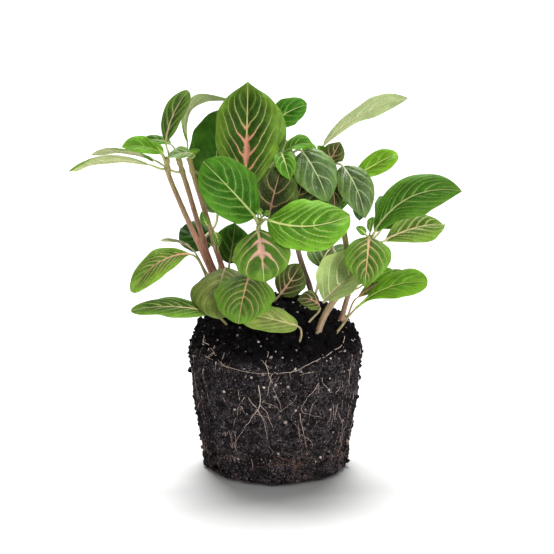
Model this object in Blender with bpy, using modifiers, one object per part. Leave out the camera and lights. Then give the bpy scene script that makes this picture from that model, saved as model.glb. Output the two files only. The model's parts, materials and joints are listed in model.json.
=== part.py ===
"""Nerve plant lifted from its pot: a pot-shaped root ball, seven stems, surface roots and the leaves."""

import math

import bmesh
import bpy
import numpy as np

MM = 0.001
GAP = 0.35  # clearance between pieces that touch, mm

# Root ball, mm
BALL_BASE_RADIUS = 45.0
BALL_RIM_RADIUS = 55.0
BALL_RIM_HEIGHT = 78.0
BALL_MOUND_HEIGHT = 110.0
BALL_EDGE_ROUND = 4.0
BALL_STEPS = 32
MOUND = [(51.0, 89.0), (46.0, 95.0), (38.0, 101.0), (27.0, 106.0), (14.0, 109.0)]  # radius, height

SOCKET_DEPTH = 6.0
SOCKET_CLEARANCE = 0.4
PETIOLE_RADIUS = 1.1
BLADE_HALF_THICKNESS = 0.45
TIP_HALF_WIDTH = 0.4

# Stems, mm: radius, foot on the soil (x, y), then the points the stem passes through.
STEMS = {
    "left_outer_stem": (
        1.9, (-33, 4),
        [(-38, 4, 118), (-44, 2, 135), (-55, -2, 162), (-67, -6, 192), (-69, -6, 205)],
    ),
    "left_middle_stem": (
        1.9, (-27, 19),
        [(-35, 17, 116), (-43, 14, 134), (-49, 11, 156), (-58, 8, 188), (-62, 8, 202)],
    ),
    "left_inner_stem": (
        1.9, (-22, 7),
        [(-29, 5, 118), (-36, 4, 136), (-43, 3, 161), (-51, 3, 188), (-55, 3, 203)],
    ),
    "front_stem": (
        1.6, (-7, -8),
        [(-7, -14, 122), (-8, -22, 141), (-10, -30, 162), (-10, -34, 172)],
    ),
    "tall_stem": (
        1.8, (25, 6),
        [(22, 7, 118), (15, 8, 140), (8, 6, 176), (4, 4, 198), (3, 3, 206)],
    ),
    "rear_stem": (
        2.1, (27, -33),
        [(31, -28, 107), (41, -17, 122), (46, -4, 140), (41, 7, 166), (33, 12, 190), (31, 13, 199)],
    ),
    "right_stem": (
        1.7, (42, -7),
        [(45, -8, 110), (50, -10, 127), (56, -13, 143), (60, -15, 156)],
    ),
}

# Leaves, mm and degrees. Stem and station: where the leaf stalk leaves it, from 0 at the soil to 1 at
# its tip, or "soil" and the place (x, y). Base and tip: the ends of the blade. Face: heading and lift
# of the upper side, heading 0 towards the front (-Y) and 90 to the right. Bow: how far the middle of
# the blade rises out of the line from base to tip. Sweep: the same, sideways. Fold: how far each half is
# turned up from flat, or a pair where the halves differ.
LEAVES = [
    ("left_tip_upright", "left_outer_stem", 1.0, (-69, -6, 215), (-55, 0, 247), 15, (-22, 12), 2, -2, 12),
    ("left_tip_arching", "left_middle_stem", 1.0, (-56, 0, 214), (-28, 8, 240), 14, (-145, 40), 17, 0, 12),
    ("left_tip_bright", "left_outer_stem", 0.96, (-73, -14, 210), (-96, -24, 216), 15, (0, 50), 3, 0, 22),
    ("left_tip_behind", "left_middle_stem", 0.95, (-67, 12, 210), (-86, 14, 212), 13, (0, 72), 2, 0, 12),
    ("left_arm_upper", "left_middle_stem", 0.86, (-78, 12, 200), (-119, 32, 200), 16, (160, 66), 3, 0, 6),
    ("left_arm_lower", "left_outer_stem", 0.88, (-80, -12, 202), (-129, -28, 202), 19, (180, 62), 4, 0, 6),
    ("left_inner_young", "left_inner_stem", 1.0, (-52, -5, 207), (-68, -15, 207), 11, (20, 60), 2, 0, 22),
    ("crown_front", "front_stem", 0.92, (-19, -27, 190), (-17, -20, 257), 40, (3, 12), 4, 0, 7),
    ("crown_back", "tall_stem", 0.88, (-9, 15, 190), (-13, 15, 246), 34, (8, 5), 4, 0, 6),
    ("crown_side", "left_inner_stem", 0.88, (-41, 10, 181), (-33, 10, 233), 36, (-5, -5), 3, 0, 7),
    ("crown_small", "tall_stem", 0.65, (-3, 26, 219), (20, 26, 233), 18, (8, 20), 3, -2, 6),
    ("rosette_left", "front_stem", 0.98, (-13, -40, 175), (-44, -52, 212), 35, (-7, 28), 5, 0, 6),
    ("rosette_right", "front_stem", 0.95, (-5, -41, 173), (46, -50, 178), 35, (5, 35), 3, 7, 6),
    ("rosette_hanging", "front_stem", 0.92, (-11, -43, 167), (-7, -58, 138), 37, (4, 36), 6, 0, -8),
    ("middle_left", "tall_stem", 0.55, (-4, -14, 168), (4, -18, 202), 32, (-10, 8), 4, 0, 6),
    ("middle_right", "tall_stem", 0.66, (8, -10, 168), (20, -8, 197), 27, (15, 20), 3, 0, 6),
    ("tall_tip_folded", "tall_stem", 1.0, (6, 0, 207), (23, -5, 214), 15, (-20, 55), 3, 0, 28),
    ("tall_tip_curled", "tall_stem", 0.96, (4, -9, 208), (9, -24, 195), 15, (0, 30), 4, 0, 28),
    ("rear_grey_hanging", "tall_stem", 0.9, (17, -6, 209), (33, -18, 180), 27, (12, 28), 5, 0, 6),
    ("rear_dark_upright", "rear_stem", 1.0, (34, 4, 200), (41, -1, 214), 14, (14, 30), 2, 0, 9),
    ("rear_bud", "rear_stem", 0.97, (26, 12, 203), (17, 7, 208), 12, (0, 40), 2, 0, 17),
    ("rear_arching_long", "rear_stem", 0.98, (31, 24, 207), (86, 42, 235), 21, (200, 45), 6, 0, 12),
    ("rear_dark_hanging", "rear_stem", 0.88, (35, 0, 193), (38, -7, 171), 15, (10, 15), 2, 0, 6),
    ("right_grey_green", "rear_stem", 0.94, (43, 1, 198), (57, -15, 168), 23, (15, 35), 6, 0, 6),
    ("right_narrow_back", "rear_stem", 0.82, (48, 11, 188), (54, 8, 161), 15, (35, 20), 5, 0, 6),
    ("right_bright", "rear_stem", 0.93, (50, 22, 186), (79, 38, 199), 15, (10, 30), 3, 0, 12),
    ("right_long", "right_stem", 1.0, (63, -18, 160), (118, -12, 185), 28, (5, 38), 5, -9, 6),
    ("right_lower", "right_stem", 0.96, (69, -11, 152), (108, 8, 159), 24, (3, 55), 4, 0, 6),
    ("right_hanging", "right_stem", 0.98, (59, -25, 157), (56, -40, 129), 30, (0, 35), 7, 0, -9),
    ("right_behind", "right_stem", 0.93, (68, 2, 157), (86, 46, 166), 27, (120, 60), 6, 0, 6),
    ("low_right_underside", "rear_stem", 0.3, (31, -31, 118), (62, -15, 143), 39, (172, 18), 2, 0, (15, -88)),
    ("low_right_back", "right_stem", 0.12, (52, -6, 113), (84, 14, 126), 14, (0, 55), 3, 0, 6),
    ("low_right_front", "soil", (38, -26), (51, -27, 112), (96, -29, 130), 20, (3, 42), 4, -4, 6),
    ("low_front_striped", "front_stem", 0.25, (-16, -28, 134), (-23, -57, 111), 38, (-4, 42), 6, 0, -4),
    ("low_left_pale", "left_inner_stem", 0.2, (-32, -12, 134), (-36, -42, 110), 38, (-15, 45), 6, 0, -6),
    ("soil_folded", "soil", (15, -44), (14, -44, 105), (-27, -42, 113), 18, (0, 30), 5, 0, 10),
    ("low_dark", "front_stem", 0.12, (3, -15, 118), (16, -12, 137), 20, (12, 15), 3, 0, 6),
    ("soil_arched", "soil", (20, -30), (28, -27, 113), (14, -30, 119), 14, (0, 50), 4, 0, 6),
    ("low_left_arching", "left_outer_stem", 0.22, (-54, -10, 143), (-91, -30, 124), 21, (-8, 50), 11, 0, 6),
    ("low_left_long", "soil", (-30, -26), (-42, -30, 110), (-91, -38, 114), 18, (0, 62), 4, 0, 6),
    ("low_left_dark", "left_middle_stem", 0.3, (-42, 24, 141), (-62, 40, 149), 22, (0, 20), 2, 0, 6),
    ("low_left_narrow", "left_outer_stem", 0.3, (-55, 12, 142), (-75, 28, 143), 11, (180, 70), 2, 0, 6),
    ("inner_green", "left_middle_stem", 0.12, (-30, 18, 130), (-26, 22, 156), 24, (5, 8), 2, 0, 6),
    ("back_middle", "tall_stem", 0.5, (4, 34, 172), (-8, 64, 208), 33, (178, 35), 7, 0, 6),
    ("back_right", "rear_stem", 0.5, (36, 36, 158), (44, 70, 170), 30, (165, 50), 7, 0, 6),
    ("back_left", "left_middle_stem", 0.55, (-38, 38, 160), (-28, 74, 170), 31, (190, 50), 7, 0, 6),
    ("back_low_left", "left_middle_stem", 0.16, (-24, 42, 126), (-34, 80, 124), 32, (185, 65), 8, 0, 6),
    ("back_low_right", "tall_stem", 0.12, (30, 38, 122), (44, 76, 122), 28, (170, 65), 8, 0, 6),
]

# Surface roots, mm and degrees: radius, then (angle round the ball, height), angle 0 at the front.
ROOTS = {
    "root_across_right": (0.7, [(64, 93), (56, 91), (44, 88), (28, 84), (14, 80), (2, 78)]),
    "root_across_left": (0.6, [(-76, 96), (-62, 91), (-46, 86), (-32, 79)]),
    "root_down_middle": (0.7, [(-11, 70), (-11, 55), (-20, 42), (-32, 27)]),
    "root_down_right": (0.6, [(16, 50), (19, 40), (22, 29), (24, 21)]),
}

COLOURS = {
    "soil": ((0.022, 0.016, 0.014), 0.95),
    "stem": ((0.36, 0.22, 0.13), 0.55),
    "leaf": ((0.09, 0.25, 0.03), 0.45),
    "root": ((0.50, 0.40, 0.28), 0.7),
}


def new_collection(name):
    collection = bpy.data.collections.new(name)
    bpy.context.scene.collection.children.link(collection)
    return collection


def make_material(name):
    colour, roughness = COLOURS[name]
    material = bpy.data.materials.new(name)
    material.use_nodes = True
    shader = material.node_tree.nodes["Principled BSDF"]
    shader.inputs["Base Color"].default_value = (*colour, 1.0)
    shader.inputs["Roughness"].default_value = roughness
    return material


def unit(vector):
    return vector / np.linalg.norm(vector)


def smooth_path(points, count):
    """A smooth curve through the points: Catmull-Rom pieces between each two of them."""
    points = np.array(points, float)
    padded = np.vstack([2 * points[0] - points[1], points, 2 * points[-1] - points[-2]])
    place = np.linspace(0, len(points) - 1, count)
    piece = np.minimum(place.astype(int), len(points) - 2)
    t = (place - piece)[:, None]
    a, b, c, d = (padded[piece + k] for k in range(4))
    bend = 2 * a - 5 * b + 4 * c - d
    twist = 3 * b - a - 3 * c + d
    return 0.5 * (2 * b + (c - a) * t + bend * t**2 + twist * t**3)


def ball_profile():
    """(radius, height) down the outside of the root ball, from the top of the mound to the base."""
    arc = np.radians(np.linspace(0, 90, 4))
    edge_r = BALL_BASE_RADIUS - BALL_EDGE_ROUND * (1 - np.cos(arc))
    edge_z = BALL_EDGE_ROUND * (1 - np.sin(arc))
    rim = [(BALL_RIM_RADIUS - 1, BALL_RIM_HEIGHT + 5), (BALL_RIM_RADIUS, BALL_RIM_HEIGHT)]
    top = [(0.0, BALL_MOUND_HEIGHT)] + MOUND[::-1] + rim
    middle = (0.5 * (BALL_RIM_RADIUS + BALL_BASE_RADIUS) + 0.6, 0.5 * BALL_RIM_HEIGHT)
    return top + [middle] + list(zip(edge_r, edge_z)) + [(0.0, 0.0)]


def ball_radius(height):
    """Radius of the ball's outside at a height."""
    radii, heights = zip(*ball_profile()[::-1])
    return np.interp(height, heights[1:], radii[1:])


def soil_height(x, y):
    """Height of the soil over a point of the plan."""
    top = [(r, z) for r, z in ball_profile() if z >= BALL_RIM_HEIGHT]
    radii, heights = zip(*top)
    return float(np.interp(math.hypot(x, y), radii, heights))


def soil_normal(x, y, step=2.0):
    slope_x = (soil_height(x + step, y) - soil_height(x - step, y)) / (2 * step)
    slope_y = (soil_height(x, y + step) - soil_height(x, y - step)) / (2 * step)
    return unit(np.array([-slope_x, -slope_y, 1.0]))


def add_mesh_object(name, vertices, faces, material, collection):
    mesh = bpy.data.meshes.new(name)
    mesh.from_pydata((np.array(vertices) * MM).tolist(), [], faces)
    mesh.materials.append(material)
    mesh.shade_smooth()
    obj = bpy.data.objects.new(name, mesh)
    collection.objects.link(obj)
    return obj


def add_tube(name, points, radius, material, collection, sides=2):
    curve = bpy.data.curves.new(name, "CURVE")
    curve.dimensions = "3D"
    curve.bevel_depth = radius * MM
    curve.bevel_resolution = sides
    curve.use_fill_caps = True
    spline = curve.splines.new("POLY")
    spline.points.add(len(points) - 1)
    for point, place in zip(spline.points, points):
        point.co = (*(np.array(place) * MM), 1.0)
    obj = bpy.data.objects.new(name, curve)
    if material:
        curve.materials.append(material)
    collection.objects.link(obj)
    return obj


def stem_path(name, count=15):
    """Points along a stem from the bottom of its socket to its tip."""
    _, (x, y), points = STEMS[name]
    start = np.array([x, y, soil_height(x, y)])
    first = np.array(points[0], float)
    bottom = start - unit(first - start) * SOCKET_DEPTH
    return smooth_path([bottom, start] + points, count)


def add_stem(name, material, collection, cutters):
    radius = STEMS[name][0]
    path = stem_path(name)
    add_tube(name, path, radius, material, collection)
    below = path[0] - unit(path[1] - path[0]) * SOCKET_CLEARANCE
    route = np.vstack([below, path[:5]])
    cutter = add_tube(name + "_socket", route, radius + SOCKET_CLEARANCE, None, cutters)
    return as_mesh(cutter)


def as_mesh(obj):
    """The curve object's solid as a mesh object, its caps welded."""
    graph = bpy.context.evaluated_depsgraph_get()
    mesh = bpy.data.meshes.new_from_object(obj.evaluated_get(graph))
    built = bmesh.new()
    built.from_mesh(mesh)
    bmesh.ops.remove_doubles(built, verts=built.verts, dist=0.00001)
    built.to_mesh(mesh)
    built.free()
    solid = bpy.data.objects.new(obj.name + "_solid", mesh)
    solid.matrix_world = obj.matrix_world
    solid.hide_render = True
    solid.display_type = "WIRE"
    obj.users_collection[0].objects.link(solid)
    bpy.data.objects.remove(obj)
    return solid


def add_root_ball(material, collection, cutters, sockets):
    profile = ball_profile()
    mesh = bpy.data.meshes.new("root_ball")
    edges = [(i, i + 1) for i in range(len(profile) - 1)]
    mesh.from_pydata([(r * MM, 0, z * MM) for r, z in profile], edges, [])
    mesh.materials.append(material)
    ball = bpy.data.objects.new("root_ball", mesh)
    collection.objects.link(ball)
    screw = ball.modifiers.new("Turn", "SCREW")
    screw.steps = BALL_STEPS
    screw.render_steps = BALL_STEPS
    screw.use_merge_vertices = True
    screw.merge_threshold = 0.0001
    for socket in sockets:
        cut = ball.modifiers.new("Socket", "BOOLEAN")
        cut.operation = "DIFFERENCE"
        cut.solver = "EXACT"
        cut.object = socket


def add_root(name, material, collection):
    """A thin root lying on the outside of the ball."""
    radius, stops = ROOTS[name]
    angle, height = smooth_path(stops, 16).T
    out = ball_radius(height) + radius + GAP
    angle = np.radians(angle)
    route = np.column_stack([out * np.sin(angle), -out * np.cos(angle), height])
    add_tube(name, route, radius, material, collection, 1)


def leaf_foot(stem, station, base):
    """Where the leaf stalk starts and the way it leaves."""
    if stem == "soil":
        x, y = station
        normal = soil_normal(x, y)
        return np.array([x, y, soil_height(x, y)]) + normal * (GAP + 0.25), normal
    path = stem_path(stem, 60)[8:]
    place = station * (len(path) - 1)
    index = min(int(place), len(path) - 2)
    centre = path[index] + (path[index + 1] - path[index]) * (place - index)
    along = unit(path[index + 1] - path[index])
    out = (base - centre) - np.dot(base - centre, along) * along
    out = unit(out)
    return centre + out * (STEMS[stem][0] + GAP), out


def half_width(share, width):
    """Half the blade's width at a share of its length: a sine hump, widest a little below the middle."""
    return 0.5 * width * np.sin(np.pi * share**0.85) ** 0.72


def leaf_rings(stem, station, base, tip, width, face, bow, sweep, fold):
    """Closed sections of eight points each, from the foot of the stalk to the tip of the blade."""
    base, tip = np.array(base, float), np.array(tip, float)
    heading, lift = np.radians(face)
    facing = np.array([np.sin(heading) * np.cos(lift), -np.cos(heading) * np.cos(lift), np.sin(lift)])
    side = unit(np.cross(tip - base, facing))
    upper = unit(np.cross(side, tip - base))
    share = np.array([0.0, 0.07, 0.2, 0.38, 0.58, 0.78, 0.92, 1.0])
    hump = 4 * share * (1 - share)
    blade = base + np.outer(share, tip - base) + np.outer(hump, bow * upper + sweep * side)
    foot, out = leaf_foot(stem, station, base)
    reach = 0.4 * np.linalg.norm(base - foot)
    leaving = unit(tip - base + 4 * (bow * upper + sweep * side))
    handles = [foot, foot + out * reach, base - leaving * reach, base]
    t = np.array([0.0, 0.3, 0.65])[:, None]
    weights = [(1 - t) ** 3, 3 * t * (1 - t) ** 2, 3 * t**2 * (1 - t), t**3]
    stalk = sum(weight * handle for weight, handle in zip(weights, handles))
    spine = np.vstack([stalk, blade])
    along = np.gradient(spine, axis=0)
    along[0] = out
    along /= np.linalg.norm(along, axis=1)[:, None]
    half = np.concatenate([np.full(3, PETIOLE_RADIUS), np.maximum(half_width(share, width), TIP_HALF_WIDTH)])
    half[3] = PETIOLE_RADIUS
    thick = np.concatenate([np.full(4, PETIOLE_RADIUS), [0.8, 0.6], np.full(5, BLADE_HALF_THICKNESS)])
    thick[-1] = 0.25
    ring = np.radians(np.arange(0, 360, 45))
    turned = np.where(np.cos(ring) > 0, *np.radians(np.broadcast_to(fold, 2)))
    rings = []
    across = side
    for i in range(len(spine) - 1, -1, -1):
        across = unit(across - np.dot(across, along[i]) * along[i])
        up = np.cross(across, along[i])
        turn = turned if i > 3 else np.zeros(8)
        out = half[i] * np.cos(ring)
        rings.append(
            spine[i]
            + np.outer(out * np.cos(turn), across)
            + np.outer(thick[i] * np.sin(ring) + abs(out) * np.sin(turn), up)
        )
    return rings[::-1]


def add_leaf(row, material, collection):
    name, stem, station, base, tip, width, face, bow, sweep, fold = row
    rings = leaf_rings(stem, station, base, tip, width, face, bow, sweep, fold)
    count = len(rings[0])
    faces = [tuple(range(count))[::-1]]
    for start in range(0, (len(rings) - 1) * count, count):
        for k in range(count):
            after = (k + 1) % count
            faces.append((start + k, start + after, start + count + after, start + count + k))
    last = (len(rings) - 1) * count
    faces.append(tuple(range(last, last + count)))
    obj = add_mesh_object(name, np.vstack(rings), faces, material, collection)
    built = bmesh.new()
    built.from_mesh(obj.data)
    bmesh.ops.recalc_face_normals(built, faces=built.faces)
    built.to_mesh(obj.data)
    built.free()


def build():
    for obj in list(bpy.data.objects):
        bpy.data.objects.remove(obj, do_unlink=True)
    plant = new_collection("nerve_plant")
    cutters = new_collection("cutters")
    cutters.hide_render = True
    materials = {name: make_material(name) for name in COLOURS}
    sockets = [add_stem(name, materials["stem"], plant, cutters) for name in STEMS]
    add_root_ball(materials["soil"], plant, cutters, sockets)
    for name in ROOTS:
        add_root(name, materials["root"], plant)
    for row in LEAVES:
        add_leaf(row, materials["leaf"], plant)


build()
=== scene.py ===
import json

import bmesh
import bpy
import numpy as np
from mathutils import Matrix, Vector

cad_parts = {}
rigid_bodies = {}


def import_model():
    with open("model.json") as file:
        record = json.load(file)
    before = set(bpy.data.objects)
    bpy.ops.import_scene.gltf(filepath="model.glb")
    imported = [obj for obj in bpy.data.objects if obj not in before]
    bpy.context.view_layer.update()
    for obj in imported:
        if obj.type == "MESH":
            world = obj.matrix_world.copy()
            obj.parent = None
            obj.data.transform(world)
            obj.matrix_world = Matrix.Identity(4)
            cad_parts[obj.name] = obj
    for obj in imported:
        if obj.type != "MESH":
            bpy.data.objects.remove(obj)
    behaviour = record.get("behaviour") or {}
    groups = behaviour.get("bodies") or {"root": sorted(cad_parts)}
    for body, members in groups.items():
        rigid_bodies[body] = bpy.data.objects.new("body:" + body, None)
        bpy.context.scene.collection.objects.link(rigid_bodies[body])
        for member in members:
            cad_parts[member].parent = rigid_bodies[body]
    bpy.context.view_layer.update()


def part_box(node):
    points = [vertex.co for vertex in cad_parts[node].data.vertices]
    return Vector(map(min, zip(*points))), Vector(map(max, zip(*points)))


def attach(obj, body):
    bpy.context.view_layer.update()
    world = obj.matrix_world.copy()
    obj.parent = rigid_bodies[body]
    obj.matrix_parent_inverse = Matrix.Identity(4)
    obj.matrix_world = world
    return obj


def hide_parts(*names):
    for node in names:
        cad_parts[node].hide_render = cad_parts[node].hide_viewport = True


# Nerve plant standing on its bare root ball. Places and sizes are in millimetres until a mesh is made.
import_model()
mm = 0.001
mergeGap = 0.002


# numbers that look random but come out the same each run

# A fixed number from 0 to 1 for each whole-number cell, from integer mixing.
def latticeValue(corners, seed):
    x, y, z = (corners[..., i].astype(np.uint64) for i in range(3))
    mixed = x * np.uint64(73856093) ^ y * np.uint64(19349663) ^ z * np.uint64(83492791)
    mixed ^= np.uint64(seed * 2654435761 % 2**32)
    mixed = (mixed ^ (mixed >> np.uint64(13))) * np.uint64(1274126177)
    mixed = (mixed ^ (mixed >> np.uint64(16))) & np.uint64(0xFFFFFF)
    return mixed.astype(float) / 0xFFFFFF


# Value noise, 0 to 1: corner values of cells that wide, blended with a smooth step.
def softNoise(points, size, seed):
    place = points / size + 1000.0
    cell = np.floor(place)
    share = place - cell
    share = share * share * (3 - 2 * share)
    cell = cell.astype(np.int64)
    total = np.zeros(points.shape[:-1])
    for corner in np.ndindex(2, 2, 2):
        corner = np.array(corner)
        weight = np.prod(np.where(corner == 1, share, 1 - share), axis=-1)
        total += weight * latticeValue(cell + corner, seed)
    return total


# Soft noise added to itself at half the size and half the strength, 0 to 1.
def roughNoise(points, size, seed, layers=3):
    weights = 0.5 ** np.arange(layers)
    parts = [w * softNoise(points, size * w, seed + i) for i, w in enumerate(weights)]
    return sum(parts) / weights.sum()


# Domes round one scattered centre per cell: 1 at a centre, 0 where domes meet.
def crumbNoise(points, size, seed):
    place = points / size + 1000.0
    cell = np.floor(place).astype(np.int64)
    nearest = np.full(points.shape[:-1], 9.0)
    for step in np.ndindex(3, 3, 3):
        near = cell + np.array(step) - 1
        centre = near + np.stack([latticeValue(near, seed + i) for i in range(3)], axis=-1)
        nearest = np.minimum(nearest, np.sum((centre - place) ** 2, axis=-1))
    return np.sqrt(np.clip(1 - nearest, 0, 1))


# small geometry tools

def unit(vectors):
    return vectors / np.maximum(np.linalg.norm(vectors, axis=-1, keepdims=True), 1e-9)


def easeStep(low, high, value):
    share = np.clip((value - low) / (high - low), 0, 1)
    return share * share * (3 - 2 * share)


# A smooth curve through the points: Catmull-Rom pieces between each two of them.
def smoothPath(points, count):
    points = np.array(points, float)
    padded = np.vstack([2 * points[0] - points[1], points, 2 * points[-1] - points[-2]])
    place = np.linspace(0, len(points) - 1, count)
    piece = np.minimum(place.astype(int), len(points) - 2)
    t = (place - piece)[:, None]
    a, b, c, d = (padded[piece + k] for k in range(4))
    bend = 2 * a - 5 * b + 4 * c - d
    twist = 3 * b - a - 3 * c + d
    return 0.5 * (2 * b + (c - a) * t + bend * t**2 + twist * t**3)


# Four-cornered faces of a grid of points, its last column joined to the first if closed.
def gridFaces(rows, columns, closed):
    row, column = np.meshgrid(np.arange(rows - 1), np.arange(columns - (not closed)), indexing="ij")
    after = (column + 1) % columns
    corners = [row * columns + column, row * columns + after]
    corners += [(row + 1) * columns + after, (row + 1) * columns + column]
    return np.stack(corners, axis=-1).reshape(-1, 4)


# The faces, turned round if the closed shape's volume comes out negative: the volume is the sum of the
# pyramids from the origin to the triangles that each face is cut into.
def outward(points, faces):
    corners = [points[faces[:, k]] for k in range(faces.shape[1])]
    fans = zip(corners[1:-1], corners[2:])
    volume = sum(np.sum(corners[0] * np.cross(b, c)) for b, c in fans)
    return faces if volume > 0 else faces[:, ::-1]


# Rings round a path. Their first point lies towards the guide; each end closes on a middle point.
def tube(path, radius, guide, sides):
    along = unit(np.gradient(path, axis=0))
    guide = np.broadcast_to(guide, path.shape)
    up = unit(guide - np.sum(guide * along, axis=1, keepdims=True) * along)
    across = np.cross(along, up)
    angle = np.linspace(0, 2 * np.pi, sides, endpoint=False)
    ring = np.cos(angle)[None, :, None] * up[:, None] + np.sin(angle)[None, :, None] * across[:, None]
    rings = path[:, None] + np.reshape(radius, (-1, 1, 1)) * ring
    ends = [np.repeat(path[i][None, None], sides, axis=1) for i in (0, -1)]
    points = np.concatenate([ends[0], rings, ends[1]]).reshape(-1, 3)
    return points, gridFaces(len(path) + 2, sides, True)


def addObject(name, data):
    thing = bpy.data.objects.new(name, data)
    bpy.context.scene.collection.objects.link(thing)
    return thing


# One mesh from closed parts (points in mm, faces, material number, attributes). The rows that meet at a
# seam or a pole are merged, so the mesh is closed.
def makePiece(name, parts, materials, nodes=()):
    points, faces, numbers, values = [], [], [], {}
    start = 0
    for partPoints, partFaces, number, attributes in parts:
        points.append(partPoints)
        faces.append(outward(partPoints, partFaces) + start)
        numbers.append(np.broadcast_to(number, len(partFaces)))
        for key, value in attributes.items():
            values.setdefault(key, []).append((start, np.broadcast_to(value, len(partPoints))))
        start += len(partPoints)
    points, faces, numbers = np.vstack(points) * mm, np.vstack(faces), np.concatenate(numbers)
    mesh = bpy.data.meshes.new(name)
    mesh.from_pydata(points, [], faces)
    for key, pieces in values.items():
        whole = np.zeros(start, np.float32)
        for first, value in pieces:
            whole[first:first + len(value)] = value
        mesh.attributes.new(key, "FLOAT", "POINT").data.foreach_set("value", whole)
    for material in materials:
        mesh.materials.append(material)
    mesh.polygons.foreach_set("material_index", numbers.astype(np.int32))
    work = bmesh.new()
    work.from_mesh(mesh)
    bmesh.ops.remove_doubles(work, verts=work.verts, dist=mergeGap * mm)
    work.to_mesh(mesh)
    work.free()
    mesh.shade_smooth()
    piece = addObject(name, mesh)
    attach(piece, "root")
    if nodes:
        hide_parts(*nodes)


# shader tools

# One Math node; its inputs are sockets or numbers.
def calc(tree, operation, first, second=None):
    node = tree.nodes.new("ShaderNodeMath")
    node.operation = operation
    for socket, value in zip(node.inputs, (first, second)):
        if value is not None:
            feed(tree, socket, value)
    return node.outputs[0]


def times(tree, first, second):
    return calc(tree, "MULTIPLY", first, second)


def plus(tree, first, second):
    return calc(tree, "ADD", first, second)


# The value less its middle, times its strength.
def swing(tree, value, strength):
    return times(tree, calc(tree, "SUBTRACT", value, 0.5), strength)


def feed(tree, socket, value):
    if isinstance(value, bpy.types.NodeSocket):
        tree.links.new(value, socket)
    else:
        socket.default_value = value


# The same for the named inputs of a node.
def setInputs(tree, node, values):
    for label, value in values.items():
        feed(tree, node.inputs[label], value)


# A smooth step of the value from low to high.
def ramp(tree, value, low, high, outLow=0.0, outHigh=1.0):
    step = tree.nodes.new("ShaderNodeMapRange")
    step.interpolation_type = "SMOOTHSTEP"
    for socket, number in zip(step.inputs, (value, low, high, outLow, outHigh)):
        feed(tree, socket, number)
    return step.outputs[0]


# One colour laid over another.
def blend(tree, share, first, second, mode="MIX"):
    mix = tree.nodes.new("ShaderNodeMix")
    mix.data_type = "RGBA"
    mix.blend_type = mode
    for socket, value in zip((mix.inputs[0], mix.inputs[6], mix.inputs[7]), (share, first, second)):
        feed(tree, socket, (*value, 1.0) if isinstance(value, tuple) else value)
    return mix.outputs[2]


def attribute(tree, name):
    read = tree.nodes.new("ShaderNodeAttribute")
    read.attribute_name = name
    return read.outputs["Fac"]


# Object coordinates, in metres.
def places(tree):
    return tree.nodes.new("ShaderNodeTexCoord").outputs["Object"]


# Height in object coordinates, in metres.
def heightOf(tree):
    split = tree.nodes.new("ShaderNodeSeparateXYZ")
    tree.links.new(places(tree), split.inputs[0])
    return split.outputs["Z"]


# Noise with grains about that many mm across, 0 to 1.
def grain(tree, size, detail=3.0, roughness=0.55):
    texture = tree.nodes.new("ShaderNodeTexNoise")
    setInputs(tree, texture, {"Vector": places(tree), "Scale": 1 / (size * mm), "Detail": detail,
                              "Roughness": roughness})
    return texture.outputs["Fac"]


# Distance inside scattered cells about that many mm across.
def cells(tree, size, feature="F1"):
    texture = tree.nodes.new("ShaderNodeTexVoronoi")
    texture.feature = feature
    setInputs(tree, texture, {"Vector": places(tree), "Scale": 1 / (size * mm)})
    return texture.outputs["Distance"]


def bump(tree, height, distance, strength=1.0):
    raised = tree.nodes.new("ShaderNodeBump")
    setInputs(tree, raised, {"Strength": strength, "Distance": distance * mm, "Height": height})
    return raised.outputs["Normal"]


def newMaterial(name):
    material = bpy.data.materials.new(name)
    material.use_nodes = True
    return material, material.node_tree, material.node_tree.nodes["Principled BSDF"]


# An empty node group: inputs are (name, starting value), outputs are names.
def newGroup(name, inputs, outputs):
    group = bpy.data.node_groups.new(name, "ShaderNodeTree")
    for label, value in inputs:
        socket = group.interface.new_socket(label, in_out="INPUT", socket_type="NodeSocketFloat")
        socket.default_value = value
    for label in outputs:
        group.interface.new_socket(label, in_out="OUTPUT", socket_type="NodeSocketFloat")
    return group, group.nodes.new("NodeGroupInput").outputs, group.nodes.new("NodeGroupOutput").inputs


# The group as a node of this tree, with the values that its inputs share names with.
def useGroup(tree, group, values):
    node = tree.nodes.new("ShaderNodeGroup")
    node.node_tree = group
    for label, value in values.items():
        if label in node.inputs:
            node.inputs[label].default_value = value
    return node.outputs


# leaf patterns

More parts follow.
